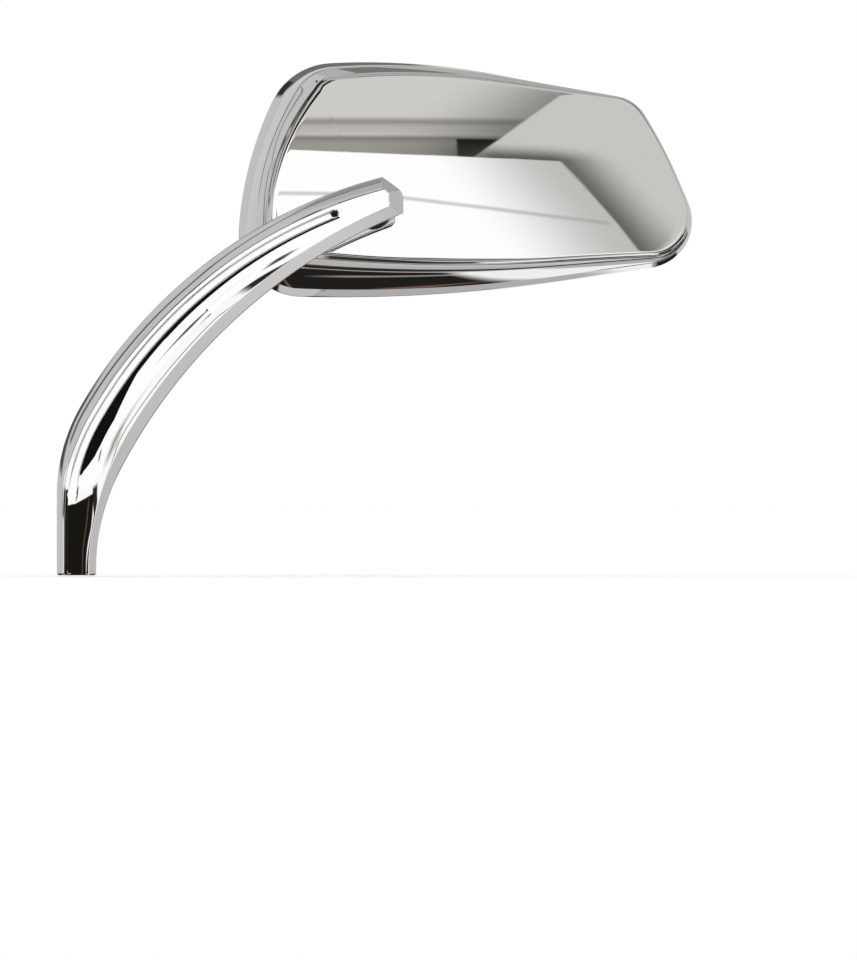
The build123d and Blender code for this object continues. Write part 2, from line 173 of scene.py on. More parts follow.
def makeSteel():
    # zinc plated steel: soft grey shine, cloudy from passivating, with a fine grain
    look = looks["steel"]
    low, high = look["roughness"]
    dark, light = (hexColor(code) for code in look["tints"])
    material, tree, shader, place = newMaterial("zincSteel")
    shader.inputs["Metallic"].default_value = 1
    cloud = addNode(tree, "ShaderNodeTexNoise", {"Scale": perPatch / look["cloud"], "Detail": 5}, {"Vector": place})
    tint = addNode(tree, "ShaderNodeMix", {"data_type": "RGBA", 6: dark, 7: light}, {0: cloud.outputs["Fac"]})
    rough = addNode(tree, "ShaderNodeMapRange", {"From Min": 0.3, "From Max": 0.7, "To Min": low, "To Max": high},
                    {"Value": cloud.outputs["Fac"]})
    grain = addNode(tree, "ShaderNodeTexNoise", {"Scale": perPatch / look["grain"], "Detail": 2}, {"Vector": place})
    bump = addNode(tree, "ShaderNodeBump", {"Distance": look["grainDepth"] * mm, "Strength": 1},
                   {"Height": grain.outputs["Fac"]})
    tree.links.new(tint.outputs[2], shader.inputs["Base Color"])
    tree.links.new(rough.outputs["Result"], shader.inputs["Roughness"])
    tree.links.new(bump.outputs["Normal"], shader.inputs["Normal"])
    return material


def makeMoulded(name):
    # moulded plastic or rubber: a dull cloudy black with the fine grain of a spark-eroded mould
    look = looks[name]
    low, high = look["roughness"]
    dark, light = (hexColor(code) for code in look["tints"])
    material, tree, shader, place = newMaterial(name)
    cloud = addNode(tree, "ShaderNodeTexNoise", {"Scale": perPatch / looks["mouldCloud"], "Detail": 3},
                    {"Vector": place})
    tint = addNode(tree, "ShaderNodeMix", {"data_type": "RGBA", 6: dark, 7: light}, {0: cloud.outputs["Fac"]})
    rough = addNode(tree, "ShaderNodeMapRange", {"From Min": 0.3, "From Max": 0.7, "To Min": low, "To Max": high},
                    {"Value": cloud.outputs["Fac"]})
    grain = addNode(tree, "ShaderNodeTexNoise", {"Scale": perPatch / look["grain"], "Detail": 3}, {"Vector": place})
    bump = addNode(tree, "ShaderNodeBump", {"Distance": look["grainDepth"] * mm, "Strength": 1},
                   {"Height": grain.outputs["Fac"]})
    tree.links.new(tint.outputs[2], shader.inputs["Base Color"])
    tree.links.new(rough.outputs["Result"], shader.inputs["Roughness"])
    tree.links.new(bump.outputs["Normal"], shader.inputs["Normal"])
    return material


def makeFoam():
    # closed-cell foam tape: matt, dark grey, pitted with small cells, with painted shade darkening each pit
    look = looks["foam"]
    dark, light = (hexColor(code) for code in look["tints"])
    material, tree, shader, place = newMaterial("cellFoam")
    shader.inputs["Roughness"].default_value = look["roughness"]
    cells = addNode(tree, "ShaderNodeTexVoronoi", {"Scale": perPatch / look["cell"]}, {"Vector": place})
    # painted shade: the colour follows the pits' depth, darkest at the bottom of each cell, where the bump is lowest
    tint = addNode(tree, "ShaderNodeMix", {"data_type": "RGBA", 6: dark, 7: light}, {0: cells.outputs["Distance"]})
    bump = addNode(tree, "ShaderNodeBump", {"Distance": look["cellDepth"] * mm, "Strength": 1},
                   {"Height": cells.outputs["Distance"]})
    tree.links.new(tint.outputs[2], shader.inputs["Base Color"])
    tree.links.new(bump.outputs["Normal"], shader.inputs["Normal"])
    return material


def makeMirror():
    # silvered glass: clear reflections with a faint blue-grey cast and a thin film of dust
    look = looks["mirror"]
    low, high = look["roughness"]
    material, tree, shader, place = newMaterial("silveredGlass")
    shader.inputs["Base Color"].default_value = hexColor(look["colour"])
    shader.inputs["Metallic"].default_value = 1
    film = addNode(tree, "ShaderNodeTexNoise", {"Scale": perPatch / look["film"], "Detail": 4}, {"Vector": place})
    rough = addNode(tree, "ShaderNodeMapRange", {"From Min": 0.35, "From Max": 0.75, "To Min": low, "To Max": high},
                    {"Value": film.outputs["Fac"]})
    tree.links.new(rough.outputs["Result"], shader.inputs["Roughness"])
    return material


chrome = makeChrome()
steel = makeSteel()
mirror = makeMirror()
foam = makeFoam()
blackNylon, blackAbs, sealRubber = (makeMoulded(name) for name in ("blackNylon", "blackAbs", "sealRubber"))
nodeLooks = {
    "stem": chrome, "back_shell": chrome, "ball_stud": steel, "neck_seat": blackNylon, "pressure_seat": blackNylon,
    "spring_cup": steel, "disc_springs": steel, "retainer_plate": steel, "retainer_screws": steel,
    "glass_carrier": blackAbs, "foam_pad": foam, "mirror_glass": mirror, "glass_seal": sealRubber,
}
for nodeName, look in nodeLooks.items():
    for materialSlot in nodes[nodeName].material_slots:
        materialSlot.material = look
print("materials made")


# Arm, swept from the foot to its tip

arm = {
    "footHalf": 7.8,
    "outerEdge": (32.4, 70, 29.8, 195, 49.3),  # straight, bend radius and angle, reach radius and angle
    "innerEdge": (2.5, 85, 27.2, 219, 42.6),
    "lean": 10, "leanStart": 24, "leanBlend": 30,
    "depths": (15, 13, 12), "easeShares": (0.08, 0.3),
    "upperBevel": (2.6, 5), "lowerBevel": (2.6, 4.6), "bevelDrop": 3.4,
    "bows": (0.4, 1.5, 0.15), "bowFade": (0.56, 0.8), "bevelBulge": 0.22,
    "marginTurn": 0.1, "marginShare": 0.75,
    "edgeRadius": 0.7, "footRimRadius": 2.1, "rimRuns": (1.2, 0.8), "footRadius": 0.8, "footRing": 0.96, "step": 0.9,
    "groove": {
        "start": 29, "runIn": 19, "endSetback": 32, "width": 3.3, "depth": 1.3, "margin": 1.65, "endRadius": 1.5,
        "wallRuns": (0.7, 0.2), "rimSoft": 0.18, "floorSoft": 0.3, "apron": 0.4,
        # distance back from the upper end, and the depth there
        "runOut": ((-0.3, 0), (-0.1, 0.02), (0, 0.08), (0.3, 0.22), (1, 0.5), (1.8, 0.82), (2.6, 1.1), (3, 1.22),
                   (3.3, 1.28), (3.8, 1.3)),
    },
    # slopes from the face into the groove, its width given along the arm
    "flank": {"along": (37, 41, 45, 49, 54, 66, 86, 140, 190),
              "widths": (0.3, 1.3, 3, 4.2, 4.6, 4.6, 1.8, 1.1, 0.7), "slope": 0.26},
    "thread": {"radius": 3.4, "rootRadius": 4.0, "pitch": 1.25, "depth": 18, "leadIn": 0.6,
               "stepsPerTurn": 12, "runOut": 3, "drillPoint": 1.8},
    "tip": {"pivotSetback": 17.5, "walls": ((11.9, 0, 5.4), (10, 53, 3.8)), "bevelSlope": 0.857,
            "edgeSoft": 0.35, "facetSoft": 1, "wallSoft": 5},
    "boss": {"radius": 6.0, "low": 14.665, "high": 26, "edge": 0.6, "bore": 3.1, "boreDepth": 9.6},
}
slopeLean = tan(radians(arm["lean"]))


def edgeLength(edge):
    return edge[0] + edge[1] * radians(edge[2]) + edge[3] * radians(edge[4])


def edgePoint(start, edge, share):
    straight, bendRadius, bendAngle, reachRadius, _ = edge
    bend = radians(bendAngle)
    along = share * edgeLength(edge)
    if along <= straight:
        return np.array([start, along])
    along -= straight
    if along <= bendRadius * bend:
        turn = along / bendRadius
        return np.array([start + bendRadius * (1 - cos(turn)), straight + bendRadius * sin(turn)])
    turn = bend + (along - bendRadius * bend) / reachRadius
    corner = np.array([start + bendRadius * (1 - cos(bend)), straight + bendRadius * sin(bend)])
    return corner + reachRadius * np.array([cos(bend) - cos(turn), sin(turn) - sin(bend)])


armLength = (edgeLength(arm["outerEdge"]) + edgeLength(arm["innerEdge"])) / 2


def armPlace(share):
    # middle of a section, its direction across in the leaning plane, and its width
    outer = edgePoint(-arm["footHalf"], arm["outerEdge"], share)
    inner = edgePoint(arm["footHalf"], arm["innerEdge"], share)
    width = np.linalg.norm(inner - outer)
    ax, az = (inner - outer) / width
    middle = (outer + inner) / 2
    rise, blend = max(middle[1] - arm["leanStart"], 0), arm["leanBlend"]
    lean, slope = slopeLean * (rise - blend / 2), slopeLean
    if rise < blend:
        lean, slope = slopeLean * rise ** 2 / (2 * blend), slopeLean * rise / blend
    return np.array([middle[0], lean, middle[1]]), np.array([ax, slope * az, az]), width


def eased(low, high, share):
    first, last = arm["easeShares"]
    step = min(max((share - first) / (last - first), 0), 1)
    return low + (high - low) * step * step * (3 - 2 * step)


def armBow(share):
    first, last = arm["bowFade"]
    step = min(max((share - first) / (last - first), 0), 1)
    return eased(*arm["bows"][:2], share) * (1 - step) + arm["bows"][2] * step


def armRing(share, grooveDepth, grooveHalf, inset=0, lift=0):
    middle, across, width = armPlace(share)
    deep = eased(arm["depths"][0], arm["depths"][1], share) + (arm["depths"][2] - arm["depths"][1]) * share
    upper, lower = eased(*arm["upperBevel"], share), eased(*arm["lowerBevel"], share)
    half, front, radius = width / 2, -deep / 2, arm["edgeRadius"]
    faceHalf, faceMiddle = (width - upper - lower) / 2, (upper - lower) / 2
    groove = arm["groove"]
    grooveMiddle = upper - half + groove["margin"] + groove["width"] / 2
    bowStart = grooveMiddle + groove["width"] / 2
    bow = armBow(share)
    marginTurn = eased(arm["marginTurn"], 0, share)
    marginSlope = arm["marginShare"] * 2 * bow * (bowStart - faceMiddle) / faceHalf ** 2

    def onFace(x):  # flat as far as the groove, bowed beyond it, its margin turned back a little near the foot
        u = (max(x, bowStart) - faceMiddle) / faceHalf
        level = front - bow * (1 - u ** 2) + marginSlope * min(x - bowStart, 0)
        return np.array([x, level + marginTurn * max(bowStart - groove["width"] - x, 0)])

    lowerFront, upperFront = np.array([half - lower, front]), onFace(upper - half)
    lowerSide, upperSide = np.array([half, front + arm["bevelDrop"]]), np.array([-half, front + arm["bevelDrop"]])
    lowerBack, upperBack = np.array([half, -front]), np.array([-half, -front])
    floor = onFace(grooveMiddle)[1] + grooveDepth
    left, right = grooveMiddle - grooveHalf, grooveMiddle + grooveHalf
    soft, floorSoft, apron = groove["rimSoft"], groove["floorSoft"], groove["apron"]
    rimLeft = onFace(left)
    flank = np.interp(share * armLength, arm["flank"]["along"], arm["flank"]["widths"])
    startX, endX = bowStart - groove["width"] - apron, bowStart + flank + apron
    if grooveDepth > 0.1:
        leftRun, rightRun = (run * grooveDepth / groove["depth"] for run in groove["wallRuns"])
        dip = min(arm["flank"]["slope"] * flank, grooveDepth * 0.9)
        floorLeft, floorRight = np.array([left + leftRun, floor]), np.array([right - rightRun, floor])
        flankFoot = onFace(right) + (0, dip)
        flankRim = onFace(bowStart + flank)
        flankFace = [*between(flankFoot, flankRim, 11), flankRim]
        channel = np.concatenate([
            [onFace(startX)],
            softCorner(onFace(left - apron), rimLeft, floorLeft, soft, 4),
            between(rimLeft, floorLeft, 1),
            softCorner(rimLeft, floorLeft, floorRight, floorSoft, 4),
            between(floorLeft + (floorSoft, 0), floorRight - (floorSoft, 0), 3),
            softCorner(floorLeft, floorRight, flankFoot, floorSoft, 4),
            between(floorRight, flankFoot, 1),
            softCorner(floorRight, flankFoot, flankRim, soft, 4),
            flankFace,
            [onFace(endX)],
        ])
    else:  # the same points laid on the face, or a little under it
        spots = np.concatenate([[startX], np.linspace(left - soft, right + soft, 21),
                                np.linspace(right + 0.25, endX - 0.1, 12), [endX]])
        sink = grooveDepth * np.clip((grooveHalf + soft - abs(spots - grooveMiddle)) / soft, 0, 1)
        channel = np.array([onFace(x) + (0, s) for x, s in zip(spots, sink)])
    upperRun, lowerRun = arm["rimRuns"]
    upperRadius = eased(arm["footRimRadius"], radius, share)
    upperRim = softCorner(upperSide, upperFront, onFace(upperFront[0] + upperRun), upperRadius)
    lowerRim = softCorner(onFace(lowerFront[0] - lowerRun), lowerFront, lowerSide, radius)
    bevel = between(upperSide, upperFront, 9)
    bevelOut = np.array([upperFront[1] - upperSide[1], upperSide[0] - upperFront[0]])
    bulge = 1 - np.linspace(-1, 1, 11)[1:-1, None] ** 2
    bevel = bevel + bulge * arm["bevelBulge"] * bevelOut / np.linalg.norm(bevelOut)
    flat = np.concatenate([
        lowerRim,
        between(lowerFront, lowerSide, 3),
        softCorner(lowerFront, lowerSide, lowerBack, radius),
        between(lowerSide + (0, radius), lowerBack - (0, radius), 5),
        softCorner(lowerSide, lowerBack, upperBack, radius),
        between(lowerBack - (radius, 0), upperBack + (radius, 0), 9),
        softCorner(lowerBack, upperBack, upperSide, radius),
        between(upperBack - (0, radius), upperSide + (0, radius), 5),
        softCorner(upperBack, upperSide, upperFront, radius),
        bevel,
        upperRim,
        [onFace(x) for x in np.linspace(upperRim[-1][0], startX, 4)[1:-1]],
        channel,
        [onFace(x) for x in np.linspace(endX, lowerRim[0][0], 26)[1:-1]],
    ])
    if inset:
        flat = flat * (1 - inset / half, 1)
    return middle + flat[:, :1] * across + flat[:, 1:] * np.array([0, 1, 0]) + (0, 0, lift)


def grooveHalfAt(fromEnd):
    groove = arm["groove"]
    radius = groove["endRadius"]
    if fromEnd >= radius:
        return groove["width"] / 2
    return groove["width"] / 2 - radius + sqrt(radius ** 2 - (radius - max(fromEnd, 0)) ** 2)


def armStations():
    # places along the arm, with the groove's depth and the distance to its upper end at each
    groove = arm["groove"]
    ends = (groove["start"], armLength - groove["endSetback"])
    stations = [(ends[1] - fromEnd, depth, fromEnd) for fromEnd, depth in groove["runOut"]]
    for along in np.arange(arm["step"], armLength - 0.2, arm["step"]):
        fromEnd = ends[1] - along
        if fromEnd > groove["runOut"][-1][0] + 0.4:
            step = min(max((along - ends[0]) / groove["runIn"], 0), 1)
            stations.append((along, groove["depth"] * step * step * (3 - 2 * step), fromEnd))
        elif fromEnd < groove["runOut"][0][0] - 0.3:
            stations.append((along, 0, fromEnd))
    return sorted(stations)


def threadRings(count, start):
    # the thread, up from the underside of the foot, and the drill point above it
    thread = arm["thread"]
    angle = start + np.arange(count) * 2 * pi / count
    circle = np.stack([np.cos(angle), np.sin(angle)], axis=1)
    rings = []
    for z in np.arange(0, thread["depth"], thread["pitch"] / thread["stepsPerTurn"]):
        phase = (z / thread["pitch"] - angle / (2 * pi)) % 1
        tooth = np.clip(abs(2 * phase - 1) * 1.25 - 0.1, 0, 1)  # a V with flats at root and crest
        radius = thread["radius"] + (thread["rootRadius"] - thread["radius"]) * tooth
        fade = min((thread["depth"] - z) / thread["runOut"], 1)
        radius = thread["radius"] + (radius - thread["radius"]) * fade
        radius = np.maximum(radius, thread["radius"] + thread["leadIn"] - z)
        rings.append(np.column_stack([circle * radius[:, None], np.full(count, z)]))
    rings.append(np.column_stack([circle * thread["radius"], np.full(count, thread["depth"])]))
    rings.append(np.column_stack([circle * 0.001, np.full(count, thread["depth"] + thread["drillPoint"])]))
    return rings


def headPoint(x, y, level):
    # head coordinates: x to the right, y up along the glass, level out of the back
    lean = radians(arm["lean"])
    x, y, level = np.broadcast_arrays(x, y, level)
    return np.stack([ball[0] + x, ball[1] + y * sin(lean) - level * cos(lean),
                     ball[2] + y * cos(lean) + level * sin(lean)], axis=-1)


def cutTip(skin):
    # planes as a direction and a distance from the pivot: walls, facets, then the roundings between them
    tip = arm["tip"]
    lean = radians(arm["lean"])
    normal = np.array([0, -cos(lean), sin(lean)])
    up = np.array([0, sin(lean), cos(lean)])
    pivot = armPlace(1 - tip["pivotSetback"] / armLength)[0]
    walls, facets = [], []
    for reach, angle, run in tip["walls"]:
        outward = np.array([cos(radians(angle)), 0, 0]) + up * sin(radians(angle))
        slanted = outward * tip["bevelSlope"] + normal
        slanted /= np.linalg.norm(slanted)
        edge = outward * (reach - run) + normal * arm["depths"][2] / 2
        walls.append((outward, reach))
        facets.append((slanted, slanted @ edge))
    planes = walls + facets
    for first, second, radius in (
        (*walls, tip["wallSoft"]), (*facets, tip["facetSoft"]),
        (facets[0], walls[0], tip["facetSoft"]), (facets[1], walls[1], tip["facetSoft"]),
    ):
        facing = first[0] @ second[0]
        a, b = np.linalg.solve([[1, facing], [facing, 1]], [first[1] - radius, second[1] - radius])
        axis = a * first[0] + b * second[0]
        for share in (0.25, 0.5, 0.75):
            turned = first[0] * (1 - share) + second[0] * share
            turned /= np.linalg.norm(turned)
            planes.append((turned, turned @ axis + radius))
    selectOnly(skin)
    bpy.ops.object.mode_set(mode="EDIT")
    supports = [(outward, reach - tip["edgeSoft"]) for outward, reach in walls + facets]  # keep each edge tight
    for order, (outward, reach) in enumerate(supports + planes):
        cut = order >= len(supports)
        bpy.ops.mesh.select_all(action="SELECT")
        bpy.ops.mesh.bisect(plane_co=(pivot + outward * reach) / 1000, plane_no=outward, clear_outer=cut,
                            use_fill=cut, threshold=1e-6)
    bpy.ops.object.mode_set(mode="OBJECT")


def makeBoss():
    boss = arm["boss"]
    low, high = (headPoint(0, 0, boss[end]) / 1000 for end in ("low", "high"))
    bpy.ops.object.select_all(action="DESELECT")
    bpy.ops.mesh.primitive_circle_add(vertices=96, radius=boss["radius"] / 1000, fill_type="NGON", location=high,
                                      rotation=(radians(90 - arm["lean"]), 0, 0))
    piece = bpy.context.object
    piece.name = "stemBoss"
    bpy.ops.object.transform_apply(location=True, rotation=True, scale=True)
    bpy.ops.object.mode_set(mode="EDIT")
    bpy.ops.mesh.select_mode(type="FACE")
    bpy.ops.mesh.select_all(action="SELECT")
    down = Vector(low - high).normalized()
    edge = down * boss["edge"] / 1000
    bpy.ops.mesh.extrude_region_move(TRANSFORM_OT_translate={"value": Vector(low - high) - edge})
    bpy.ops.mesh.extrude_region_move(TRANSFORM_OT_translate={"value": edge})
    bpy.ops.mesh.inset(thickness=boss["edge"] / 1000)
    bpy.ops.mesh.inset(thickness=boss["edge"] / 2000)
    bpy.ops.mesh.inset(thickness=(boss["radius"] - 1.5 * boss["edge"] - boss["bore"]) / 1000)
    bpy.ops.mesh.extrude_region_move(TRANSFORM_OT_translate={"value": -down * boss["boreDepth"] / 1000})  # for the stud
    bpy.ops.object.mode_set(mode="OBJECT")
    return piece


def makeStem():
    rings = [armRing(along / armLength, depth, grooveHalfAt(fromEnd)) for along, depth, fromEnd in armStations()]
    soft = arm["footRadius"]
    half = grooveHalfAt(-1)
    for share in (1, 0.6, 0.3, 0.1, 0):  # rounded rim of the foot
        drop = 1 - sqrt(1 - (1 - share) ** 2)
        rings.insert(0, armRing(0, 0, half, inset=soft * drop, lift=soft * share))
    rim = rings[0]
    rings.insert(0, rim * (arm["footRing"], arm["footRing"], 1))  # keeps the rim tight
    start = np.arctan2(rim[0][1], rim[0][0])
    turning = np.sign(np.cross(rim[0][:2], rim[1][:2]))
    hole = threadRings(len(rim), start)
    if turning < 0:
        hole = [np.roll(ring[::-1], 1, axis=0) for ring in hole]
    skin = sweptSkin("stemBody", hole[::-1] + rings)
    selectOnly(skin)
    bpy.ops.object.mode_set(mode="EDIT")
    bpy.ops.mesh.select_mode(type="EDGE")
    bpy.ops.mesh.select_all(action="DESELECT")
    bpy.ops.mesh.select_non_manifold(extend=False)
    bpy.ops.mesh.edge_face_add()
    bpy.ops.object.mode_set(mode="OBJECT")
    cutTip(skin)
    boss = makeBoss()
    selectOnly(skin)
    boss.select_set(True)
    bpy.ops.object.join()
    finishSkin(skin, "stem", chrome, "stem")


makeStem()


# Head: one outline, drawn in by different amounts, gives the housing, the glass and its seal

head = {
    "nearBottom": (-53.9, -28.3), "nearTop": (-33.4, 65.25), "farTop": (105.6, 50.6), "farBottom": (134.3, -13.9),
    "topRun": (56.4, 11.2), "bottomRun": (60, 8.6), "nearBow": 7.9, "farBow": 2.2,
    "radii": (26, 27.6, 16.8, 19.2), "fade": 21,
    "panelLevel": 8.665, "plateLevel": -13.5, "carrierLevel": -15.4, "rimLevel": -22.443, "lipLevel": -17.443,
    "lipInsets": (2.8, 0.5), "rimInsets": (7.7, 0.6), "footInsets": (12.1, 0.75), "panelInsets": (13.7, 1.0),
    "panelFade": 17.5, "ledgeDrop": 5.8, "ledgeFall": 0.53, "panelSlope": 0.1, "sweepRadius": 1500,
    "crownRadius": 350, "crownLine": 18, "pocketInsets": (4.4, 3), "wall": 3, "ledgeShare": 0.65,
    "taper": {"start": -45, "run": 175, "swing": 12, "middle": 18, "spread": 12},
    "ledgeSoft": 1.7, "ledgeBulge": 0.06, "wallBulge": 0.25, "panelSoft": 2.5, "rimSoft": 0.5, "footSoft": 1.2,
    "mouth": 6.2, "mouthLevel": 7.065, "mouthFlare": 1, "socket": 9.4, "bore": 9.7, "socketWall": 2.6,
}
glass = {
    "radius": 1500, "centre": (36, 17), "level": -23.043, "thickness": 2.2, "insets": (5.8, 4.4), "sealWidth": 1.2,
}


def linePart(start, end, inside):
    along = (end - start) / np.linalg.norm(end - start)
    across = np.array([-along[1], along[0]])
    across *= np.sign((inside - start) @ across)
    return lambda p: ((p - start) @ across, across)


def arcPart(centre, radius):
    def depth(p):
        out = (p - centre) / np.linalg.norm(p - centre)
        return radius - np.linalg.norm(p - centre), -out
    return depth


def bowCircle(start, end, bow, inside):
    chord = np.linalg.norm(end - start)
    radius = (chord ** 2 / 4 + bow ** 2) / (2 * bow)
    middle = (start + end) / 2
    across = np.array([start[1] - end[1], end[0] - start[0]]) / chord
    across *= np.sign((inside - middle) @ across)
    return middle + across * (radius - bow), radius


def tangentCircle(start, along, end):
    across = np.array([-along[1], along[0]])
    radius = (end - start) @ (end - start) / (2 * (end - start) @ across)
    return start + across * radius, abs(radius)


def arcPoints(centre, start, end, count):
    first = np.arctan2(*(start - centre)[::-1])
    turn = (np.arctan2(*(end - centre)[::-1]) - first + pi) % (2 * pi) - pi
    angles = first + turn * np.linspace(0, 1, count)
    return centre + np.linalg.norm(start - centre) * np.stack([np.cos(angles), np.sin(angles)], axis=1)


def outline(near, far, fade=head["fade"]):
    # runs from the far top corner over the top, down the near side, back along the bottom and up the far side
    inside = np.array(glass["centre"], float)
    nearBottom = np.array(head["nearBottom"]) + (near, near)
    nearTop = np.array(head["nearTop"]) + (near, -near)
    farTop = np.array(head["farTop"]) + (-far, -far)
    farBottom = np.array(head["farBottom"]) + (-far, far)
    topAlong = np.array([-cos(radians(head["topRun"][1])), sin(radians(head["topRun"][1]))])
    topEnd = farTop + topAlong * head["topRun"][0]
    topCircle = tangentCircle(topEnd, topAlong, nearTop)
    bottomAlong = np.array([-cos(radians(head["bottomRun"][1])), -sin(radians(head["bottomRun"][1]))])
    bottomEnd = farBottom + bottomAlong * head["bottomRun"][0]
    bottomCircle = tangentCircle(bottomEnd, bottomAlong, nearBottom)
    nearCircle = bowCircle(nearTop, nearBottom, head["nearBow"], inside)
    farCircle = bowCircle(farBottom, farTop, head["farBow"], inside)
    top, bottom = linePart(farTop, topEnd, inside), linePart(farBottom, bottomEnd, inside)
    topArc, bottomArc, nearArc, farArc = (arcPart(*c) for c in (topCircle, bottomCircle, nearCircle, farCircle))
    corners = []
    for first, second, corner, radius, draw in (
        (nearArc, bottomArc, nearBottom, head["radii"][0], near), (topArc, nearArc, nearTop, head["radii"][1], near),
        (farArc, top, farTop, head["radii"][2], far), (bottom, farArc, farBottom, head["radii"][3], far),
    ):
        radius *= 1 - draw / fade
        centre = corner + (inside - corner) / np.linalg.norm(inside - corner) * radius * 1.3
        for _ in range(15):  # steps the centre until it lies the radius away from both sides
            (a, toA), (b, toB) = first(centre), second(centre)
            centre = centre + np.linalg.solve([toA, toB], [radius - a, radius - b])
        corners.append((centre, centre - radius * first(centre)[1], centre - radius * second(centre)[1]))
    lowNear, highNear, highFar, lowFar = corners
    return np.concatenate([
        arcPoints(*highFar, 13)[:-1],
        np.linspace(highFar[2], topEnd, 25)[:-1],
        arcPoints(topCircle[0], topEnd, highNear[1], 31)[:-1],
        arcPoints(*highNear, 15)[:-1],
        arcPoints(nearCircle[0], highNear[2], lowNear[1], 31)[:-1],
        arcPoints(*lowNear, 19)[:-1],
        arcPoints(bottomCircle[0], lowNear[2], bottomEnd, 41)[:-1],
        np.linspace(bottomEnd, lowFar[1], 25)[:-1],
        arcPoints(*lowFar, 19)[:-1],
        arcPoints(farCircle[0], lowFar[2], highFar[1], 27)[:-1],
    ])


def tapered(near, far, fade=head["fade"]):
    # an even inset at the near end runs out to another at the far end, sooner along the top than along the bottom
    spot = outline(0, 0)
    taper = head["taper"]
    run = taper["run"] - taper["swing"] * np.tanh((spot[:, 1] - taper["middle"]) / taper["spread"])
    share = np.clip((spot[:, 0] - taper["start"]) / run, 0, 1)[:, None]
    return outline(near, near, fade) * (1 - share) + outline(far, far, fade) * share


def crownLevel(spot, shrink):
    lean = np.array([head["panelSlope"], 1]) / sqrt(1 + head["panelSlope"] ** 2)
    centre = np.array([0, head["panelLevel"] - shrink]) - head["sweepRadius"] * lean
    crown = head["crownRadius"]
    swept = head["sweepRadius"] - crown + np.sqrt(crown ** 2 - (spot[:, 1] - head["crownLine"]) ** 2)
    return centre[1] + np.sqrt(swept ** 2 - (spot[:, 0] - centre[0]) ** 2)


def ledgeLevel(spot, shrink):  # follows the sweep of the panel
    sweep = head["panelSlope"] * spot[:, 0] + spot[:, 0] ** 2 / (2 * head["sweepRadius"])
    return head["panelLevel"] - head["ledgeDrop"] - shrink - sweep


def softRings(before, corner, after, radius, steps=5):
    return np.stack([softCorner(b, c, a, radius, steps) for b, c, a in zip(before, corner, after)], axis=1)


def circleRing(like, radius, level):
    angle = np.arctan2(like[:, 1], like[:, 0])
    return np.column_stack([radius * np.cos(angle), radius * np.sin(angle), np.broadcast_to(level, len(like))])


def panelRings(edge, middle, shrink, count):
    # rings over the crowned panel, from its edge to a circle about the ball's axis
    rings = []
    for share in np.linspace(0, 1, count):
        spot = edge[:, :2] * (1 - share) + middle[:, :2] * share
        rings.append(np.column_stack([spot, crownLevel(spot, shrink)]))
    return rings


def mix(first, second, share):
    return first * (1 - share) + second * share


def bulged(first, second, count, bulge):
    # rings between two others, swelling out a little half way
    along = second - first
    length = np.linalg.norm(along, axis=1)[:, None]
    outward = np.array([0, 0, 1]) - along * along[:, 2:] / length ** 2
    outward /= np.linalg.norm(outward, axis=1)[:, None]
    swell = bulge * np.clip(length / 4, 0, 1) * outward
    shares = np.linspace(0, 1, count + 2)[1:-1]
    return [mix(first, second, share) + 4 * share * (1 - share) * swell for share in shares]


def reliefRings(shrink):
    # corners of the relief: top of the lip, rim and foot of the sloping ledge, edge of the panel
    names = ("lipInsets", "rimInsets", "footInsets", "panelInsets")
    insets = [[inset + shrink for inset in head[name]] for name in names]
    lip, rim = (tapered(*inset) for inset in insets[:2])
    foot, edge = (tapered(*inset, head["panelFade"] + shrink) for inset in insets[2:])
    fall = head["ledgeFall"] * np.linalg.norm(rim - foot, axis=1)
    lipRing = np.column_stack([lip, np.full(len(lip), head["carrierLevel" if shrink else "lipLevel"])])
    lowest = head["carrierLevel"] + 0.2 if shrink else head["lipLevel"] + 0.5
    below = head["ledgeShare"] * fall
    rimRing = np.column_stack([rim, np.maximum(ledgeLevel(rim, shrink) - below, lowest)])
    footRing = np.column_stack([foot, np.maximum(ledgeLevel(foot, shrink) + fall - below, lowest)])
    return lipRing, rimRing, footRing, np.column_stack([edge, np.maximum(crownLevel(edge, shrink), lowest)])


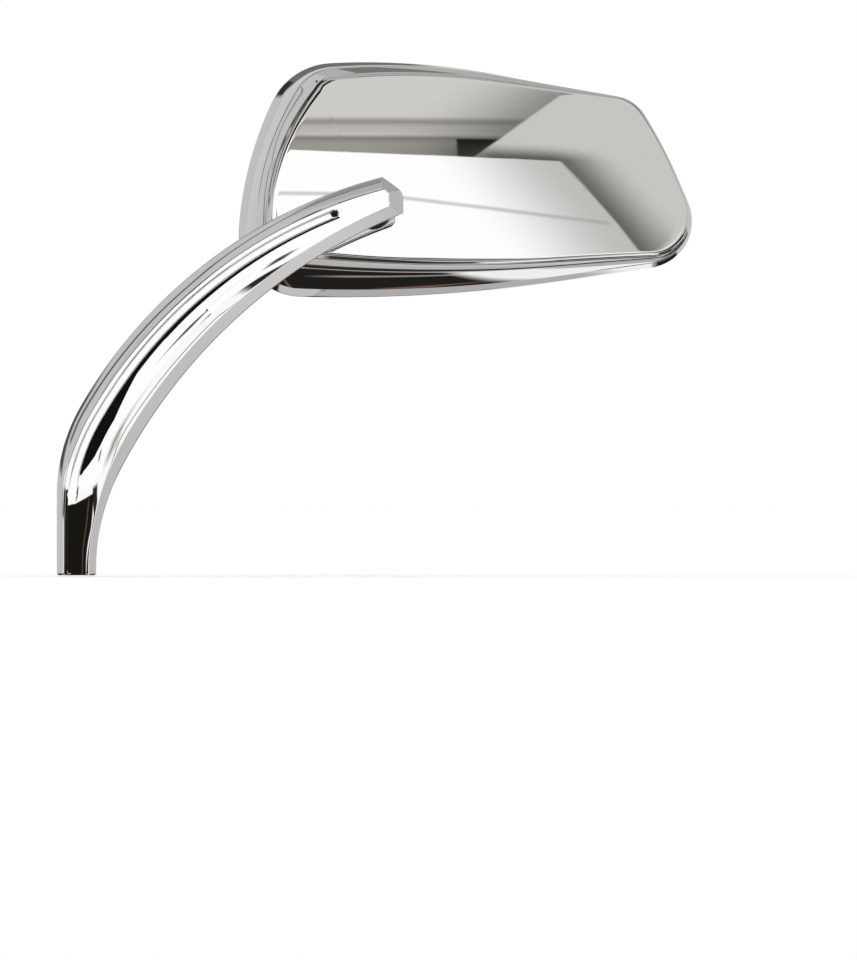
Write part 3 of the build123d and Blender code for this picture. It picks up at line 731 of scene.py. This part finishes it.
def housingRings():
    lip, ledgeRim, ledgeFoot, panelEdge = reliefRings(0)
    rim = np.column_stack([outline(0, 0), np.full(len(lip), head["rimLevel"])])
    throat = circleRing(panelEdge, head["mouth"] + head["mouthFlare"], 0)
    throat[:, 2] = crownLevel(throat[:, :2], 0)
    neck = circleRing(panelEdge, head["mouth"], head["mouthLevel"])
    inRing = circleRing(panelEdge, head["mouth"] + head["mouthFlare"] + 3, 0)
    inRing[:, 2] = crownLevel(inRing[:, :2], 0)
    pocketRim = np.column_stack([outline(*head["pocketInsets"]), np.full(len(rim), head["rimLevel"])])
    pocketTop = pocketRim.copy()
    pocketTop[:, 2] = head["carrierLevel"]
    rings = []
    rings.append(circleRing(panelEdge, head["bore"], head["plateLevel"]))
    rings.append(circleRing(panelEdge, head["bore"], -0.2))
    for angle in np.linspace(0, np.arccos(head["mouth"] / head["socket"]), 12):
        rings.append(circleRing(panelEdge, head["socket"] * cos(angle), head["socket"] * sin(angle)))
    rings += list(softRings(rings[-1], neck, throat, 0.15, 3))
    rings += list(softRings(neck, throat, inRing, 0.3))
    inner = rings[-1]
    outer = softRings(panelRings(panelEdge, throat, 0, 9)[1], panelEdge, ledgeFoot, head["panelSoft"], 9)
    span = [mix(outer[0], inner, share) for share in np.linspace(1, 0, 40)[1:-1]]
    for ring in span + [outer[0]]:
        ring[:, 2] = crownLevel(ring[:, :2], 0)
    rings += span
    rings += list(outer)
    cove = softRings(panelEdge, ledgeFoot, ledgeRim, head["footSoft"], 6)
    ledgeTurn = softRings(ledgeFoot, ledgeRim, lip, head["ledgeSoft"], 7)
    lipTurn = softRings(ledgeRim, lip, rim, 0.3, 4)
    rings += [*cove, *bulged(cove[-1], ledgeTurn[0], 5, head["ledgeBulge"]), *ledgeTurn]
    rings += [*bulged(ledgeTurn[-1], lipTurn[0], 9, head["wallBulge"]), *lipTurn]
    rings += [mix(lip, rim, share) for share in (0.25, 0.5, 0.75)]
    rings += list(softRings(lip, rim, pocketRim, head["rimSoft"]))
    rings += [mix(rim, pocketRim, 0.5)]
    rings += list(softRings(rim, pocketRim, pocketTop, 0.3, 4))
    rings += [mix(pocketRim, pocketTop, share) for share in (0.3, 0.7)]
    shelf, innerRim, innerFoot, innerEdge = reliefRings(head["wall"])
    post = circleRing(panelEdge, head["bore"] + head["socketWall"], 0)
    post[:, 2] = crownLevel(post[:, :2], head["wall"])
    rings += [pocketTop, shelf, mix(shelf, innerRim, 0.5), innerRim, innerFoot]
    rings += panelRings(innerEdge, post, head["wall"], 12)
    rings += [circleRing(panelEdge, head["bore"] + head["socketWall"], head["plateLevel"]), rings[0]]
    return [headPoint(*np.asarray(ring).T) for ring in rings]


housing = sweptSkin("housing", housingRings())
finishSkin(housing, "head", chrome, "back_shell")


def glassLevel(spot, proud=0.0):
    reach = ((spot - glass["centre"]) ** 2).sum(axis=1)
    return glass["level"] + glass["radius"] - np.sqrt((glass["radius"] + proud) ** 2 - reach)


def paneRing(inset, proud):
    spot = outline(glass["insets"][0] + inset, glass["insets"][1] + inset)
    return np.column_stack([spot, glassLevel(spot, proud)])


def paneFace(edge, proud, count):
    rings = []
    for share in np.linspace(0, 1, count):
        spot = np.array(glass["centre"]) * (1 - share) + edge[:, :2] * share
        rings.append(np.column_stack([spot, glassLevel(spot, proud)]))
    return rings


def makePane():
    edge, back = paneRing(0, 0), paneRing(0, -glass["thickness"])
    front = softRings(paneRing(1, 0), edge, back, 0.25, 4)
    behind = -glass["thickness"]
    rings = paneFace(front[0], 0, 30) + list(front[1:]) + list(softRings(edge, back, paneRing(1, behind), 0.25, 4))
    rings += paneFace(paneRing(0.6, behind), behind, 8)[::-1]
    pane = sweptSkin("mirrorPane", [headPoint(*ring.T) for ring in rings])
    finishSkin(pane, "head", mirror, "mirror_glass")


makePane()

seal = {  # section of the seal: how far in from its outer side, and how far out over the glass
    "section": ((0, -3), (0, -1.5), (0, 0), (0.05, 0.22), (0.2, 0.4), (0.45, 0.49), (0.9, 0.5), (1.4, 0.48),
                (1.75, 0.4), (1.98, 0.27), (2.08, 0.12), (2.05, 0.05), (1.7, 0.05), (1.25, 0.05), (1.16, 0.02),
                (1.15, -0.1), (1.15, -1.5), (1.15, -3)),
}


def makeSeal():
    rings = [paneRing(inset - glass["sealWidth"], proud) for inset, proud in seal["section"] + seal["section"][:1]]
    ring = sweptSkin("sealRing", [headPoint(*r.T) for r in rings])
    finishSkin(ring, "head", sealRubber, "glass_seal")


makeSeal()
print("head made")


# Camera, floor and studio

view = {"centre": (0.1404, 0.038), "distance": 12.0, "height": 0.384, "plane": 0.035, "sensor": 36}


def makeCamera():
    camera = bpy.data.cameras.new("camera")
    camera.sensor_width = view["sensor"]
    camera.lens = view["sensor"] * view["distance"] / view["height"]
    camera.clip_end = 50
    rig = bpy.data.objects.new("camera", camera)
    bpy.context.scene.collection.objects.link(rig)
    rig.location = (view["centre"][0], view["plane"] - view["distance"], view["centre"][1])
    rig.rotation_euler = (radians(90), 0, 0)
    bpy.context.scene.camera = rig


# soft-edged cards round the mirror: azimuth from the camera, elevation, colour as chrome shows it,
# softness of the sides and of the ends, lean of the sides, tilt of the ends
studio = {
    "strength": 1.25,  # chrome gives back a little less than it sees
    "wash": "#BEBDBC",
    "cards": [
        dict(az=(-46, 80), el=(33, 62), colour="#CAC8C5", soft=(6, 5)),  # overhead
        dict(az=(-46, 6), el=(5, 36), colour="#FBFBFB", soft=(5, 3)),
        dict(az=(-46, 9), el=(32.8, 71), colour="#12110F", soft=(2, 1.5), tilt=0.25),
        dict(az=(-180, 180), el=(69, 100), colour="#AEACAB", soft=(1, 4)),
        dict(az=(15, 62), el=(70, 100), colour="#747373", soft=(1, 3)),
        dict(az=(-130, -78), el=(70, 84), colour="#8E8D90", soft=(4, 3)),
        dict(az=(-88, -83), el=(30, 60), colour="#545354", soft=(3, 4), lean=0.1),
        dict(az=(-82, -78), el=(58, 80), colour="#4A494A", soft=(2, 3), lean=0.6),
        dict(az=(-61.8, -60.4), el=(12, 30), colour="#6E6D6D", soft=(1, 3), lean=1),  # lines along the ledge
        dict(az=(-62.6, -61.2), el=(30, 50), colour="#6E6D6D", soft=(1, 3), lean=-1.09),
        dict(az=(66, 106), el=(-14, 32), colour="#B5B3B2", soft=(16, 16)),
        dict(az=(85, 130), el=(40, 75), colour="#A09FA2", soft=(6, 6)),
        dict(az=(5, 22), el=(22, 36), colour="#CCCAC7", soft=(1.5, 0.5)),  # ceiling and its rails
        dict(az=(5, 22), el=(22, 24.3), colour="#98968F", soft=(1.5, 0.2)),
        dict(az=(5, 22), el=(23.9, 24.7), colour="#84827B", soft=(1.5, 0.7)),
        dict(az=(5, 22), el=(24.9, 26.3), colour="#B5B3AE", soft=(1.5, 1.2)),
        dict(az=(5, 22), el=(26.1, 27), colour="#93918A", soft=(1.5, 0.9)),
        dict(az=(17.4, 40), el=(22, 36), colour="#504F4B", soft=(7, 0.3), lean=0.474, opacity=0.85),
        dict(az=(14.92, 18), el=(21.6, 24.3), colour="#201E1B", soft=(0.12, 0.3), lean=0.07),
        dict(az=(14.75, 80), el=(5, 36), colour="#C6C4C2", soft=(0.12, 0.6), lean=0.474),  # grey wall
        dict(az=(16.1, 20.4), el=(5, 25.2), colour="#3F3D38", soft=(2.6, 2.4), lean=-0.153, tilt=-0.13, opacity=0.9),
        dict(az=(-12, 19.4), el=(6, 24.0), colour="#BDBCBA", soft=(0.15, 0.2), lean=-0.153, tilt=-0.13),  # white table
        dict(az=(-12, 16.9), el=(6, 24.0), colour="#FDFDFD", soft=(4.6, 0.2), lean=-0.153, tilt=-0.13),
        dict(az=(6.5, 11.7), el=(16.5, 17), colour="#A2A19F", soft=(0.3, 0.4), opacity=0.6),
        dict(az=(11.6, 19.4), el=(21.7, 22.2), colour="#A2A19F", soft=(0.3, 0.4), tilt=-0.445, opacity=0.6),
        dict(az=(-40, 42), el=(-24, 6.8), colour="#F8F8F8", soft=(3, 3)),
        dict(az=(-70, -20), el=(-20, 11), colour="#1D1B19", soft=(4, 3)),
        dict(az=(-30, 40), el=(-54, -46), colour="#B2B0B0", soft=(6, 3)),  # under the head
        dict(az=(-70, 70), el=(-88, -54), colour="#2A2826", soft=(10, 2)),
        dict(az=(8, 50), el=(-37.1, -35.3), colour="#6B4A35", soft=(4, 0.8), tilt=0.72),
        dict(az=(25, 58), el=(-46, -26), colour="#C8C6C6", soft=(8, 6)),
        dict(az=(26.2, 27.4), el=(-8, 7), colour="#5A544F", soft=(0.5, 3), lean=0.2),
        dict(az=(-80, -44), el=(-1.5, 1.5), colour="#F4F4F4", soft=(4, 1)),
        dict(az=(12.5, 17.5), el=(-3, 5.2), colour="#2A2725", soft=(1.6, 1.2), lean=-0.6),
        dict(az=(7.4, 8.6), el=(10.8, 14.4), colour="#4A4744", soft=(0.6, 1.5), lean=-0.72),
        dict(az=(-16, 12.5), el=(-9, 3.9), colour="#171614", soft=(1.2, 0.4)),  # opening for the camera
        dict(az=(-18, -6.5), el=(-30, 9.5), colour="#171614", soft=(0.6, 0.4)),
        dict(az=(2, 17), el=(-26, -3), colour="#1C1A17", soft=(2, 3)),
        dict(az=(-8, -6.5), el=(-5, 5), colour="#6E5440", soft=(0.8, 3)),
        dict(az=(7, 8), el=(-5, 3), colour="#5D4635", soft=(0.5, 3)),
        dict(az=(-40, 75), el=(24, 52), colour="#68686A", soft=(10, 4), behind=True),  # dark room behind
        dict(az=(-85, -57), el=(14, 40), colour="#4A4A4B", soft=(6, 6), behind=True),
        dict(az=(-58, -33), el=(28, 62), colour="#2F2D2B", soft=(4, 3), behind=True),
        dict(az=(-70, 70), el=(-60, -22), colour="#1F1D1B", soft=(12, 3), behind=True),
        dict(az=(76, 135), el=(-80, -19), colour="#24211F", soft=(4, 4)),
        dict(az=(107, 150), el=(-40, -10), colour="#24211F", soft=(2, 3)),
        dict(az=(-125, -72), el=(-50, -5), colour="#1E1C1A", soft=(6, 3)),
        dict(az=(-40, 40), el=(-84, -69.2), colour="#ACAAA9", soft=(8, 1), tilt=1.15, behind=True),
        dict(az=(-6, 10), el=(-69.2, -58), colour="#33302D", soft=(2, 1), tilt=1.15, behind=True),
        dict(az=(10, 40), el=(-70, -40), colour="#ACAAA9", soft=(1, 3), behind=True),
        dict(az=(-60, 5), el=(-53, -51), colour="#7A5A43", soft=(6, 1), behind=True),
        dict(az=(-2, 6), el=(-47.5, -46.5), colour="#8A8580", soft=(3, 0.6), behind=True),
        dict(az=(-50, 4), el=(-39, -37.6), colour="#6B5546", soft=(5, 0.8), behind=True),
        dict(az=(4.9, 10.2), el=(-54, -30), colour="#ECEBEC", soft=(1.6, 2), behind=True),
    ],
}


def makeWorld():
    world = bpy.data.worlds.new("studio")
    bpy.context.scene.world = world
    world.use_nodes = True
    tree = world.node_tree
    tree.nodes.clear()
    way = addNode(tree, "ShaderNodeTexCoord").outputs["Generated"]
    axes = addNode(tree, "ShaderNodeSeparateXYZ", links={0: way}).outputs
    toward = addNode(tree, "ShaderNodeMath", {"operation": "MULTIPLY", 1: -1}, {0: axes["Y"]}).outputs[0]
    readings = {}  # degrees: front is 0 towards the camera, behind is 0 away from it
    for name, ahead in (("front", toward), ("behind", axes["Y"])):
        turn = addNode(tree, "ShaderNodeMath", {"operation": "ARCTAN2"}, {0: axes["X"], 1: ahead}).outputs[0]
        readings[name] = addNode(tree, "ShaderNodeMath", {"operation": "DEGREES"}, {0: turn}).outputs[0]
    rise = addNode(tree, "ShaderNodeMath", {"operation": "ARCSINE"}, {0: axes["Z"]}).outputs[0]
    height = addNode(tree, "ShaderNodeMath", {"operation": "DEGREES"}, {0: rise}).outputs[0]
    colour = addNode(tree, "ShaderNodeMix", {"data_type": "RGBA", 0: 0.0, 6: hexColor(studio["wash"])}).outputs[2]
    for card in studio["cards"]:
        azimuth, elevation = readings["behind" if card.get("behind") else "front"], height
        lean, tilt = card.get("lean"), card.get("tilt")
        if lean:
            settings = {"operation": "MULTIPLY_ADD", 1: -lean, 2: lean * sum(card["el"]) / 2}
            shift = addNode(tree, "ShaderNodeMath", settings, {0: height}).outputs[0]
            azimuth = addNode(tree, "ShaderNodeMath", {"operation": "ADD"}, {0: azimuth, 1: shift}).outputs[0]
        if tilt:
            settings = {"operation": "MULTIPLY_ADD", 1: -tilt}
            elevation = addNode(tree, "ShaderNodeMath", settings, {0: azimuth, 2: height}).outputs[0]
        cover = None
        for reading, (first, last), soft in zip((azimuth, elevation), (card["az"], card["el"]), card["soft"]):
            for edge, before, after in ((first, 0, 1), (last, 1, 0)):
                settings = {"interpolation_type": "SMOOTHSTEP", "To Min": before, "To Max": after,
                            "From Min": edge - soft / 2, "From Max": edge + soft / 2}
                step = addNode(tree, "ShaderNodeMapRange", settings, {"Value": reading}).outputs["Result"]
                if cover is None:
                    cover = step
                else:
                    cover = addNode(tree, "ShaderNodeMath", {"operation": "MULTIPLY"}, {0: cover, 1: step}).outputs[0]
        if "opacity" in card:
            settings = {"operation": "MULTIPLY", 1: card["opacity"]}
            cover = addNode(tree, "ShaderNodeMath", settings, {0: cover}).outputs[0]
        colour = addNode(tree, "ShaderNodeMix", {"data_type": "RGBA", 7: hexColor(card["colour"])},
                         {0: cover, 6: colour}).outputs[2]
    seen = addNode(tree, "ShaderNodeBackground", {"Strength": studio["strength"]}, {"Color": colour}).outputs[0]
    plain = addNode(tree, "ShaderNodeBackground", {"Color": (1, 1, 1, 1), "Strength": 1}).outputs[0]
    path = addNode(tree, "ShaderNodeLightPath").outputs
    both = addNode(tree, "ShaderNodeMixShader", links={0: path["Is Glossy Ray"], 1: plain, 2: seen})
    addNode(tree, "ShaderNodeOutputWorld", links={"Surface": both.outputs[0]})


def makeFloor():
    # white paper: matt, lit white by the plain world, with the shadow left on it
    material, _, shader, _ = newMaterial("whitePaper")
    shader.inputs["Base Color"].default_value = hexColor("#FFFFFF")
    shader.inputs["Roughness"].default_value = 0.9
    shader.inputs["Specular IOR Level"].default_value = 0
    bpy.ops.object.select_all(action="DESELECT")
    bpy.ops.mesh.primitive_plane_add(size=60, location=(0.1, 0, -0.0005))
    floor = bpy.context.object
    floor.name = "floor"
    floor.data.materials.append(material)
    floor.visible_glossy = False


makeCamera()
makeWorld()
makeFloor()
bpy.context.scene.view_settings.view_transform = "Standard"
print("camera, floor and studio made")
